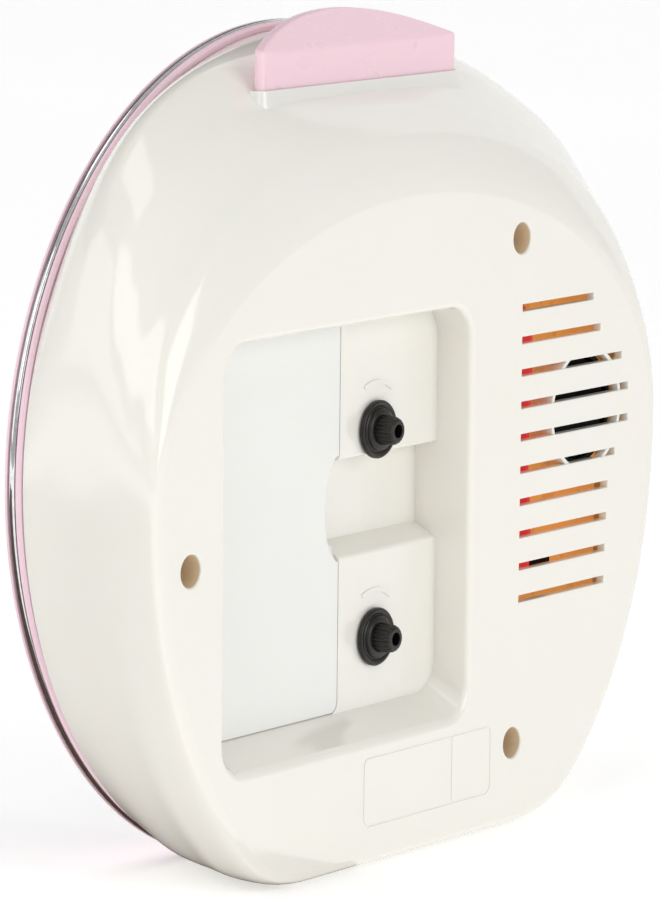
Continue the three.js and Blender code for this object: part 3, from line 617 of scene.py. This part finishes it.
def bar_outline(by, steps=48):
    """The snooze bar's plan as points in x and y: straight at the back, bowed in front, short ends."""
    bow = BAR_DEPTH - BAR_END
    radius = (BAR_HALF**2 + bow**2) / (2 * bow)
    centre_y = BAR_BACK - BAR_DEPTH + radius
    widest = math.sqrt((radius + by) ** 2 - (centre_y - BAR_BACK - by + 0.4) ** 2)
    half = min(BAR_HALF + by, widest)
    reach = math.asin(half / (radius + by))
    corner = max(BAR_END_ROUND + by, 0.05)
    points = []
    for side in (1, -1):
        for step in range(7):
            angle = math.pi / 12 * (step if side > 0 else 6 - step)
            x = half - corner + corner * math.cos(angle)
            points.append((side * x, BAR_BACK + by - corner + corner * math.sin(angle)))
    for step in range(steps + 1):
        angle = -math.pi / 2 - reach + 2 * reach * step / steps
        points.append(((radius + by) * math.cos(angle), centre_y + (radius + by) * math.sin(angle)))
    return points


def upright(name, outline, z0, z1):
    return skin(name, [[(x, y, z) for x, y in outline] for z in (z0, z1)])


def collar():
    """The ledge under the snooze bar, flaring softly into the housing at its foot."""
    rings = []
    flare = ((COLLAR_FOOT, 1.6), (74.6, 1.3), (76.0, 1.05), (77.0, 0.85))
    for z, by in (*flare, (BAR_BOTTOM - 0.3, COLLAR), (BAR_BOTTOM - 0.1, 0.65), (BAR_BOTTOM, 0.5)):
        rings.append([(x, y, z) for x, y in bar_outline(by)])
    return skin("collar", rings)


def tube(name, at, outer, inner, y0, y1, segments=64):
    return turned(name, [(inner, y0), (outer, y0), (outer, y1), (inner, y1)], segments, at)


def recess_tray():
    """The walls and floors that the recess is sunk into, hollowed behind the two knob blocks."""
    outer = rounded_outline(RECESS_X, RECESS_Z, RECESS_CORNER, WALL)
    tray = prism("tray", outer, POCKET_Y - WALL, BACK_Y - 1)
    across = (RECESS_X[0], DOOR_EDGE_X - WALL)
    deep = (INSIDE_Y, PANEL_Y - WALL)
    top = POCKET_Z[0] - POCKET_SLOPE - WALL
    upper = block("upper", across, deep, (POCKET_Z[1] + WALL, RECESS_Z[1]))
    lower = block("lower", across, deep, (RECESS_Z[0] + RECESS_SLOPE, top))
    return cut(tray, upper, lower)


def rating_frame():
    """A shallow engraved outline of an empty label below the recess."""
    x, z = LABEL_X, LABEL_Z
    deep = (BACK_Y - LABEL_DEPTH, BACK_Y + 1)
    outer = prism("label", rounded_outline(x, z, LABEL_CORNER), *deep)
    inner = prism("label_inside", rounded_outline(x, z, LABEL_CORNER, -0.45), BACK_Y - 1, BACK_Y + 2)
    divider = block("divider", LABEL_DIVIDER, deep, (z[0] + 0.2, z[1] - 0.2))
    return cut(outer, inner), divider


def in_a_well(point):
    """Whether a point of the shell lies on the wall or floor of a screw well."""
    deep = WELL_FLOOR_Y - 0.1 < point.y < BACK_Y - 0.6
    return deep and any(math.hypot(point.x - x, point.z - z) < WELL_RADIUS + 0.3 for x, z in WELLS)


def rear_housing():
    shell = cut(housing_outside(), housing_inside())
    cut(shell, *[slot_cutter(row) for row in range(len(SLOT_ENDS))])
    posts = [prism("post", circle(at, WELL_RADIUS + 1.6), WELL_FLOOR_Y - WALL, BACK_Y - 1) for at in WELLS]
    inner = HOLDER_RADIUS - HOLDER_WALL
    holder = tube("holder", SPEAKER, HOLDER_RADIUS, inner, HOLDER_FRONT_Y, BACK_Y - 0.4)
    # the outer side of the ring goes only behind the wall, so its end still fills the slots
    cut(holder, block("gap", (SPEAKER[0] - 20, SPEAKER[0] - 6), (30, BACK_Y - WALL - 0.2), (-30, 30)))
    add(shell, *posts, recess_tray(), collar(), holder)
    height = (RECESS_Z[0] + RECESS_SLOPE + BAY_MARGIN, RECESS_Z[1] - BAY_MARGIN)
    seat = prism("seat", door_outline(0), PANEL_Y - DOOR_THICK - GAP, PANEL_Y + 0.5)
    bay = block("bay", (DOOR_EDGE_X + 2.4, RECESS_X[1] - BAY_MARGIN), (INSIDE_Y, PANEL_Y), height)
    knobs = (TIME_KNOB, ALARM_KNOB)
    knob_holes = [prism("hole", circle(at, KNOB_HOLE), INSIDE_Y, PANEL_Y + 0.5) for at in knobs]
    room = upright("room", bar_outline(GAP), COLLAR_FOOT - 1, BAR_CROWN + 6)
    wells = [well_cutter(at) for at in WELLS]
    cut(shell, recess_cutter(), pocket_cutter(), seat, bay, room, *knob_holes, *wells, *rating_frame())
    add(shell, rotation_mark(TIME_KNOB), rotation_mark(ALARM_KNOB))
    # the faces inside the screw wells get the tan material, which is painted shade for the depth of the
    # wells
    shaded_well_faces = [face.index for face in shell.data.polygons if in_a_well(face.center)]
    piece(shell, cream, "case", ["rear_housing"], 32)
    shell.data.materials.append(well_painted_shade)
    for index in shaded_well_faces:
        shell.data.polygons[index].material_index = 1


# ---- rim: pink bezel, chrome ring and pink rear ring ----
BEZEL = (
    (89.9, 0.4), (89.8, -0.1), (89.5, -0.5), (88.4, -1.3), (84.0, -4.3), (81.6, -6.2), (80.0, -7.0),
    (76.6, -6.4), (79.6, -5.3), (79.6, -1.2), (85.4, 0.1), (85.4, 0.4),
)
CHROME = ((86.0, 0.7), (89.6, 0.7), (89.9, 1.0), (90.0, 1.4), (89.9, 1.8), (89.6, 2.1), (86.0, 2.1))
REAR_RING = ((85.8, 2.4), (89.7, 2.4), (89.6, 3.0), (89.1, 3.5), (85.8, 3.5))


def rim_ring(node, profile, material):
    """A ring turned about the dial's axis and cut off flat at the base."""
    ring = turned(node + "_fine", profile, 256)
    cut(ring, block("below", (-100, 100), (-20, 60), (-120, -BASE)))
    round_edges(ring, 0.12, 2, 30)
    return piece(ring, material, "case", [node], 30)


# ---- snooze bar ----
def bar_section(x, shrink):
    """The bar's outline at one x, in y and z: an upright back, a sloped top edge, a bowed front."""
    bow = BAR_DEPTH - BAR_END
    radius = (BAR_HALF**2 + bow**2) / (2 * bow)
    front = BAR_BACK - BAR_DEPTH + radius - math.sqrt(radius**2 - x**2) + shrink
    back = BAR_BACK - shrink
    crown = math.sqrt(BAR_CROWN**2 - x**2) - shrink
    slope = max(crown - BAR_TOP, 0.05)
    corners = [(front, BAR_SKIRT), (back, BAR_SKIRT), (back, crown - slope)]
    corners += [(back - slope, crown), (front, crown)]
    size = max(min(0.7, (back - front) * 0.4, slope * 0.4), 0.02)
    points = []
    for i, corner in enumerate(corners):
        corner = Vector(corner)
        before = (Vector(corners[i - 1]) - corner).normalized()
        after = (Vector(corners[(i + 1) % len(corners)]) - corner).normalized()
        reach = size if i > 1 else 0.05
        for step in range(5):
            t = step / 4
            a = corner + before * reach * (1 - t)
            b = corner + after * reach * t
            points.append(a * (1 - t) + b * t)
    return [(x, y, z) for y, z in points]


def snooze_bar():
    """The pressed bar: a skin over its sections, hollow below, with a pusher for the switch."""
    tip = BAR_HALF - BAR_END_ROUND
    stations = [BAR_HALF * math.sin(math.pi / 2 * i / 30) for i in range(-30, 31)]
    inner = [(x, 0.0) for x in stations if abs(x) < tip]
    rounding = []
    for step in range(7):
        angle = math.pi / 2 * step / 6.2
        rounding.append((tip + BAR_END_ROUND * math.sin(angle), BAR_END_ROUND * (1 - math.cos(angle))))
    left = [(-x, shrink) for x, shrink in reversed(rounding)]
    bar = skin("snooze_bar_fine", [bar_section(x, shrink) for x, shrink in left + inner + rounding])
    cut(bar, upright("hollow", bar_outline(-1.6), BAR_SKIRT - 1, 80))
    add(bar, block("pusher", (-3, 3), (17, 20), (BAR_SKIRT - 0.9, 81)))
    return piece(bar, pink, "snooze", ["snooze_bar"], 25)


# ---- snooze springs ----
SPRING_X = 14.0
SPRING_Y = 19.0
SPRING_Z = (64.6, 79.4)
SPRING_RADIUS = 1.8
SPRING_WIRE = 0.32
SPRING_TURNS = 4


def snooze_spring(node, x):
    """A coil under the snooze bar."""
    steps = 24 * SPRING_TURNS
    foot = SPRING_Z[0] + 2 * SPRING_WIRE
    rise = SPRING_Z[1] - 2 * SPRING_WIRE - foot
    rings = []
    for step in range(steps + 1):
        turn = 2 * math.pi * SPRING_TURNS * step / steps
        height = foot + rise * step / steps
        ring = []
        for side in range(10):
            angle = 2 * math.pi * side / 10
            radius = SPRING_RADIUS + SPRING_WIRE * math.cos(angle)
            z = height + SPRING_WIRE * math.sin(angle)
            ring.append((x + radius * math.cos(turn), SPRING_Y + radius * math.sin(turn), z))
        rings.append(ring)
    coil = piece(skin(node + "_fine", rings), steel, "case", [node], 50)
    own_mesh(coil)


# ---- battery door ----
def battery_door():
    """A thin plate with a half-moon scoop for a finger in its inner edge."""
    plate = prism("battery_door_fine", door_outline(-GAP), PANEL_Y - DOOR_THICK, PANEL_Y)
    across = (DOOR_EDGE_X + 2.9, DOOR_EDGE_X + 8.8)
    deep = (PANEL_Y - DOOR_THICK - 1.6, PANEL_Y - 1)
    height = (SCOOP_Z - SCOOP_HALF - 2, SCOOP_Z + SCOOP_HALF + 2)
    add(plate, block("thick", across, deep, height))
    half_round = [(math.cos(a), math.sin(a)) for a in np.linspace(-1.5, 1.5, 25)]
    dish = turned("dish", [(0, -1), *half_round, (0, 1)], 64)
    dish.data.transform(Matrix.Diagonal((SCOOP_REACH, SCOOP_DEPTH, SCOOP_HALF, 1)))
    dish.data.transform(Matrix.Translation((DOOR_EDGE_X, PANEL_Y, SCOOP_Z)))
    cut(plate, dish)
    round_edges(plate, 0.18, 2, 30)
    return piece(plate, white, "door", ["battery_door"], 40)


# ---- setting knobs ----
KNOB_FLANGE = 6.2
KNOB_POST = 3.3
KNOB_TIP = 37.0
KNOB_RIBS = 20
RIB_DEPTH = 0.3
KNOB_SHAFT = 1.2
KNOB_CLEARANCE = 0.3
PINION_TEETH = 8
MINUTE_TEETH = 16
ALARM_MODULE = 0.6
MARK_RADII = (9.6, 10.4)
MINUTE_LAYER = (8.2, 9.2)
ALARM_LAYER = (2.2, 3.2)


def pinion(at, teeth, module, layer):
    """A small gear on a knob's shaft, inside the clock."""
    root = module * (teeth / 2 - 1.1)
    tip = module * (teeth / 2 + 0.8)
    outline = []
    for tooth in range(teeth):
        for radius, offset in ((root, -0.27), (tip, -0.11), (tip, 0.11), (root, 0.27)):
            angle = (tooth + offset) * 2 * math.pi / teeth
            outline.append((at[0] + radius * math.cos(angle), at[1] + radius * math.sin(angle)))
    return prism("pinion", outline, *layer)


def ribbed_post(at):
    """A knurled post whose ribs run out into a rounded tip."""
    top = KNOB_POST - 0.3
    shoulder = PANEL_Y + 4.6
    levels = [(PANEL_Y + 1.5, KNOB_POST, RIB_DEPTH), (shoulder, top, RIB_DEPTH)]
    for step in range(1, 6):
        angle = math.pi / 2 * step / 5
        radius = top - 1.0 * (1 - math.cos(angle))
        levels.append((shoulder + 1.4 * math.sin(angle), radius, RIB_DEPTH * (1 - step / 5)))
    rings = []
    for y, radius, rib in levels:
        ring = []
        for s in range(KNOB_RIBS * 6):
            angle = 2 * math.pi * s / (KNOB_RIBS * 6)
            r = radius - rib * (0.5 - 0.5 * math.cos(KNOB_RIBS * angle))
            ring.append((at[0] + r * math.cos(angle), y, at[1] + r * math.sin(angle)))
        rings.append(ring)
    return skin("post", rings)


def flange_profile():
    """The knob's flange as (radius, y): a round rim, a shallow groove and a low hub."""
    lip = KNOB_FLANGE
    steps = (
        (0, 0), (lip - 0.2, 0), (lip, 0.2), (lip, 0.8),
        (lip - 0.2, 1.1), (lip - 0.5, 1.2), (lip - 0.9, 1.1),
        (4.9, 0.8), (4.6, 1.0), (4.5, 1.5), (4.2, 1.75), (3.8, 1.9), (0, 1.9),
    )
    return [(radius, PANEL_Y + KNOB_CLEARANCE + y) for radius, y in steps]


def knob_hole(at):
    """The blind hole in the knob's tip, flaring at its mouth."""
    steps = ((0, -3), (1.4, -3), (1.4, -0.25), (1.75, 1), (0, 1))
    return turned("hole", [(radius, KNOB_TIP + y) for radius, y in steps], 32, at)


def setting_knob(node, at, teeth, module, layer, body):
    knob = turned(node + "_fine", flange_profile(), 64, at)
    shaft = prism("shaft", circle(at, KNOB_SHAFT, 24), layer[0], PANEL_Y + 1)
    add(knob, ribbed_post(at), shaft, pinion(at, teeth, module, layer))
    cut(knob, knob_hole(at))
    return piece(knob, knob_black, body, [node], 40)


def setting_knobs():
    span = math.hypot(*TIME_KNOB)
    time_module = 2 * span / (PINION_TEETH + MINUTE_TEETH)
    setting_knob("time_set_knob", TIME_KNOB, PINION_TEETH, time_module, MINUTE_LAYER, "time_knob")
    setting_knob("alarm_set_knob", ALARM_KNOB, PINION_TEETH, ALARM_MODULE, ALARM_LAYER, "alarm_knob")


# ---- lens and dial ----
DIAL_FRONT = -0.9
LENS_RADIUS = 79.2
LENS_EDGE_Y = -3.6
LENS_THICK = 1.5
NUMBER_RADIUS = 60
NUMBER_SIZE = 13
HOUR_MARK = (70, 0.5)
MINUTE_MARK = (72.5, 0.2)
MARK_END = 75


def lens():
    """A shallow dome of even thickness with a short upright rim."""
    edge = LENS_EDGE_Y
    rise = FRONT_Y - edge + 1.6
    radii = np.linspace(0, 77.5, 20)
    front = [(r, edge - 1.6 + rise * (1 - (r / LENS_RADIUS) ** 2)) for r in radii]
    back = [(r, y + LENS_THICK) for r, y in reversed(front)]
    rim = [(LENS_RADIUS, edge - 1.4), (LENS_RADIUS, edge)]
    shape = turned("lens_fine", front + rim + back, 128)
    return piece(shape, clear, "case", ["lens"], 30)


def dial_prints():
    """Sixty minute marks, longer at the hours, and the hours' numbers."""
    marks = []
    y = (DIAL_FRONT - 0.12, DIAL_FRONT - 0.02)
    for minute in range(60):
        start, half = MINUTE_MARK if minute % 5 else HOUR_MARK
        bar = block("mark", (-half, half), y, (start, MARK_END))
        bar.data.transform(Matrix.Rotation(math.radians(6 * minute), 4, "Y"))
        marks.append(bar)
    for hour in range(1, 13):
        text = bpy.data.curves.new("number", "FONT")
        text.body = str(hour)
        text.size = NUMBER_SIZE
        text.extrude = 0.04
        text.align_x, text.align_y = "CENTER", "CENTER"
        number = new_object("number", text)
        turn = math.radians(30 * hour)
        centre = (math.sin(turn) * NUMBER_RADIUS, y[0] + 0.05, math.cos(turn) * NUMBER_RADIUS)
        number.matrix_world = Matrix.Translation(centre) @ Matrix.Rotation(math.pi / 2, 4, "X")
        bpy.context.view_layer.update()
        shaped = number.evaluated_get(bpy.context.evaluated_depsgraph_get())
        mesh = bpy.data.meshes.new_from_object(shaped)
        mesh.transform(number.matrix_world)
        bpy.data.objects.remove(number)
        marks.append(new_object("number", mesh))
    with bpy.context.temp_override(active_object=marks[0], selected_editable_objects=marks):
        bpy.ops.object.join()
    marks[0].name = "dial_print"
    return piece(marks[0], print_ink, "case", (), 40)


def rotation_mark(at):
    """A raised arc beside a knob that shows which way it turns."""
    arc = np.linspace(0.36 * math.pi, 0.7 * math.pi, 20)
    near, far = MARK_RADII
    outer = [(at[0] + far * math.cos(a), at[1] + far * math.sin(a)) for a in arc]
    inner = [(at[0] + near * math.cos(a), at[1] + near * math.sin(a)) for a in reversed(arc)]
    return prism("mark", outer + inner, PANEL_Y - 0.5, PANEL_Y + 0.35)


def build_all():
    paint_cad_nodes()
    rear_housing()
    rim_ring("front_bezel", BEZEL, pink)
    rim_ring("chrome_ring", CHROME, chrome)
    rim_ring("rear_ring", REAR_RING, pink)
    snooze_bar()
    snooze_spring("snooze_spring_left", -SPRING_X)
    snooze_spring("snooze_spring_right", SPRING_X)
    battery_door()
    setting_knobs()
    lens()
    dial_prints()


build_all()


# ---- floor, light and camera ----
VIEW_TURN = math.radians(54.54)
VIEW_LIFT = math.radians(8.444)
VIEW_ROLL = math.radians(0.6)
VIEW_DISTANCE = 1283.35
VIEW_ASIDE = 13.28
VIEW_BELOW = 2.41
LENS_LENGTH = 240
CLOCK_MIDDLE = (0, 0, 0.09)


def plain(name, colour, roughness):
    material, tree, shader = nodes_of(name)
    marks = noise(tree, 3, 2)
    tree.links.new(ramp(tree, marks, tuple(c * 0.99 for c in colour), colour), shader.inputs["Base Color"])
    shader.inputs["Roughness"].default_value = roughness
    return material


def lit_paper(name, colour, glow):
    """Translucent white paper lit from below."""
    material = plain(name, colour, 0.7)
    shader = material.node_tree.nodes["Principled BSDF"]
    shader.inputs["Emission Color"].default_value = (1, 1, 1, 1)
    shader.inputs["Emission Strength"].default_value = glow
    return material


def backdrop():
    """White paper on a light table: flat under the clock, and curving up far behind it."""
    curve = [(-1.2, 0.0), (1.8, 0.0)]
    for step in range(1, 13):
        angle = math.pi / 2 * step / 12
        curve.append((1.8 + 0.8 * math.sin(angle), 0.8 * (1 - math.cos(angle))))
    curve.append((2.6, 3.0))
    away = Vector((-math.sin(VIEW_TURN), -math.cos(VIEW_TURN), 0))
    across = Vector((-away.y, away.x, 0))
    points = []
    for distance, height in curve:
        for side in (-3, 3):
            points.append(away * distance + across * side + Vector((0, 0, height - 0.0005)))
    faces = [(i, i + 1, i + 3, i + 2) for i in range(0, len(points) - 2, 2)]
    mesh = bpy.data.meshes.new("paper")
    mesh.from_pydata([tuple(p) for p in points], [], faces)
    mesh.shade_smooth()
    paper = new_object("paper", mesh)
    paper.data.materials.append(lit_paper("paper_white", (0.95, 0.95, 0.95), 0.3))


def dark_card(name, centre, facing, size, colour):
    """A dark flag beside the set that only its reflections show."""
    x, y = size[0] / 2, size[1] / 2
    card = from_faces(name, [(-x, -y, 0), (x, -y, 0), (x, y, 0), (-x, y, 0)], [(0, 1, 2, 3)])
    card.data.materials.append(plain(name, colour, 0.8))
    card.location = centre
    card.rotation_euler = (Vector(facing) - Vector(centre)).to_track_quat("Z", "Y").to_euler()
    card.visible_camera = False
    card.visible_diffuse = False
    card.visible_shadow = False


def area_light(name, position, target, size, power):
    data = bpy.data.lights.new(name, "AREA")
    data.shape = "RECTANGLE"
    data.size, data.size_y = size
    data.energy = power
    obj = new_object(name, data)
    obj.location = position
    direction = Vector(target) - Vector(position)
    obj.rotation_euler = direction.to_track_quat("-Z", "Y").to_euler()
    return obj


def camera():
    """A long lens, 54.5 degrees round from the back towards the clock's left, 8.4 degrees above it."""
    turn, lift, roll = VIEW_TURN, VIEW_LIFT, VIEW_ROLL
    right = Vector((-math.cos(turn), math.sin(turn), 0))
    up = Vector((-math.sin(turn) * math.sin(lift), -math.cos(turn) * math.sin(lift), math.cos(lift)))
    back = Vector((math.sin(turn) * math.cos(lift), math.cos(turn) * math.cos(lift), math.sin(lift)))
    rolled_right = right * math.cos(roll) + up * math.sin(roll)
    rolled_up = up * math.cos(roll) - right * math.sin(roll)
    place = back * VIEW_DISTANCE + rolled_right * VIEW_ASIDE - rolled_up * VIEW_BELOW
    data = bpy.data.cameras.new("camera")
    data.sensor_fit = "VERTICAL"
    data.sensor_height = 36
    data.lens = LENS_LENGTH
    data.clip_start = 0.05
    data.clip_end = 30
    obj = new_object("camera", data)
    rim_centre = TO_FRAME @ Vector((0, 0, 0))
    basis = Matrix((rolled_right, rolled_up, back)).transposed().to_4x4()
    obj.matrix_world = Matrix.Translation(rim_centre + place * 0.001) @ basis
    bpy.context.scene.camera = obj


def world():
    surroundings = bpy.data.worlds.new("surroundings")
    surroundings.use_nodes = True
    background = surroundings.node_tree.nodes["Background"]
    background.inputs["Color"].default_value = (1, 1, 1, 1)
    background.inputs["Strength"].default_value = 0.5
    bpy.context.scene.world = surroundings
    bpy.context.scene.view_settings.view_transform = "Standard"


backdrop()
world()
area_light("key", (0.2, 1.8, 0.65), CLOCK_MIDDLE, size=(1.3, 1.0), power=9.0)
area_light("side", (1.6, 0.2, 1.1), CLOCK_MIDDLE, size=(1.2, 1.2), power=6.5)
area_light("top", (0.3, -0.1, 1.4), CLOCK_MIDDLE, size=(1.0, 0.5), power=1.9)
area_light("front", (1.1, -0.95, 0.6), CLOCK_MIDDLE, size=(1.0, 1.0), power=2.5)
dark_card("flag_above", (-0.2, -0.72, 0.75), CLOCK_MIDDLE, (1.7, 0.55), (0.02, 0.015, 0.02))
dark_card("flag_floor", (0.32, -0.2, 0.0002), (0.32, -0.2, 1), (0.6, 0.5), (0.10, 0.06, 0.045))
camera()
